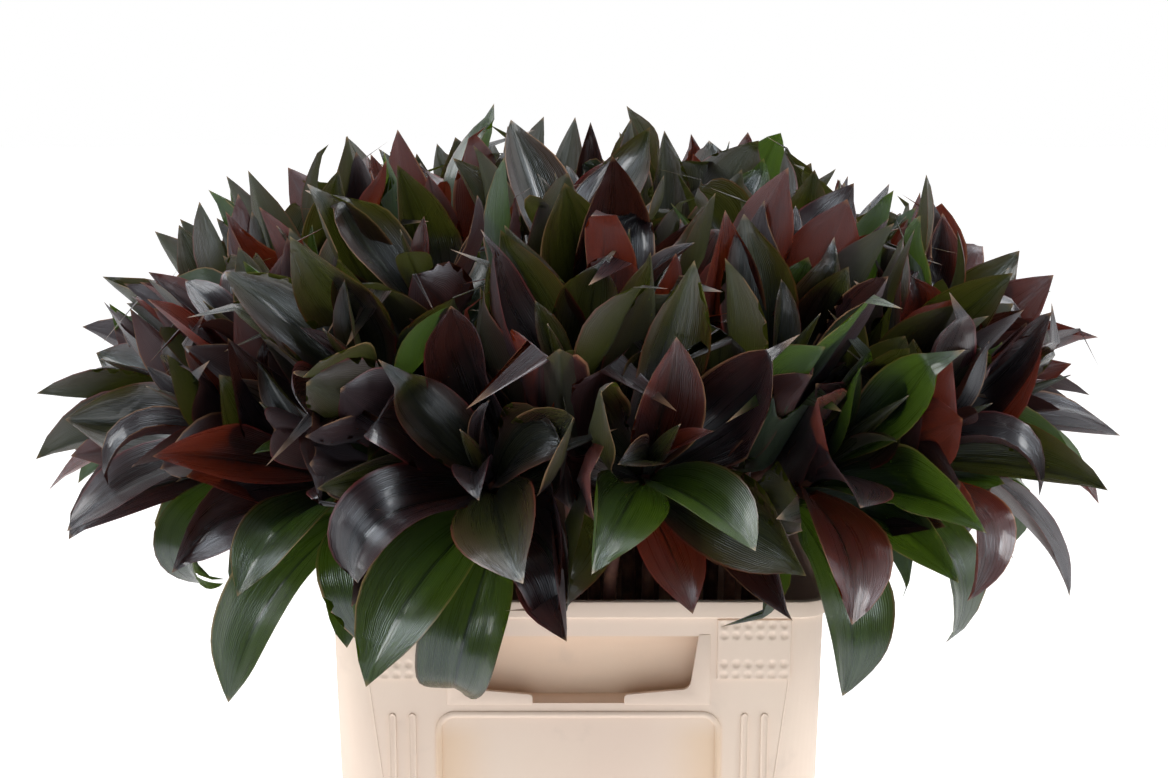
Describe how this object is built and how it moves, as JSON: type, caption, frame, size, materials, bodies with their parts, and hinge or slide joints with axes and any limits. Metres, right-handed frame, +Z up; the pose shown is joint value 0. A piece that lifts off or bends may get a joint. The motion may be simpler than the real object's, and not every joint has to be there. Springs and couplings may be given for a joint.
{
  "type": "cut compacta dracaena in a container",
  "caption": "Dome of dark purple and green compacta dracaena stems standing in water in a tall rectangular cream plastic container with a label pocket in each short end.",
  "frame": {"origin": "middle of the container's flat underside, on the surface that it stands on", "axes": "+Z up, -Y towards the short end with the label pocket that the picture shows, +X along that short end to the right seen from in front"},
  "size_m": [0.7049, 0.7272, 0.6104],
  "materials": {
    "container_plastic": "satin",
    "water": "gloss",
    "foliage": "satin"
  },
  "bodies": {
    "root": {"container": "container_plastic", "water": "water", "leafy_stem_01": "foliage", "leafy_stem_02": "foliage", "leafy_stem_03": "foliage", "leafy_stem_04": "foliage", "leafy_stem_05": "foliage", "leafy_stem_06": "foliage", "leafy_stem_07": "foliage", "leafy_stem_08": "foliage", "leafy_stem_09": "foliage", "leafy_stem_10": "foliage", "leafy_stem_11": "foliage", "leafy_stem_12": "foliage", "leafy_stem_13": "foliage", "leafy_stem_14": "foliage", "leafy_stem_15": "foliage", "leafy_stem_16": "foliage", "leafy_stem_17": "foliage", "leafy_stem_18": "foliage", "leafy_stem_19": "foliage", "leafy_stem_20": "foliage", "leafy_stem_21": "foliage", "leafy_stem_22": "foliage", "leafy_stem_23": "foliage", "leafy_stem_24": "foliage", "leafy_stem_25": "foliage", "leafy_stem_26": "foliage", "leafy_stem_27": "foliage", "leafy_stem_28": "foliage", "leafy_stem_29": "foliage", "leafy_stem_30": "foliage", "leafy_stem_31": "foliage", "leafy_stem_32": "foliage", "leafy_stem_33": "foliage", "leafy_stem_34": "foliage", "leafy_stem_35": "foliage", "leafy_stem_36": "foliage", "leafy_stem_37": "foliage", "leafy_stem_38": "foliage", "leafy_stem_39": "foliage", "leafy_stem_40": "foliage", "leafy_stem_41": "foliage", "leafy_stem_42": "foliage", "leafy_stem_43": "foliage", "leafy_stem_44": "foliage", "leafy_stem_45": "foliage", "leafy_stem_46": "foliage", "leafy_stem_47": "foliage", "leafy_stem_48": "foliage", "leafy_stem_49": "foliage"}
  },
  "joints": []
}
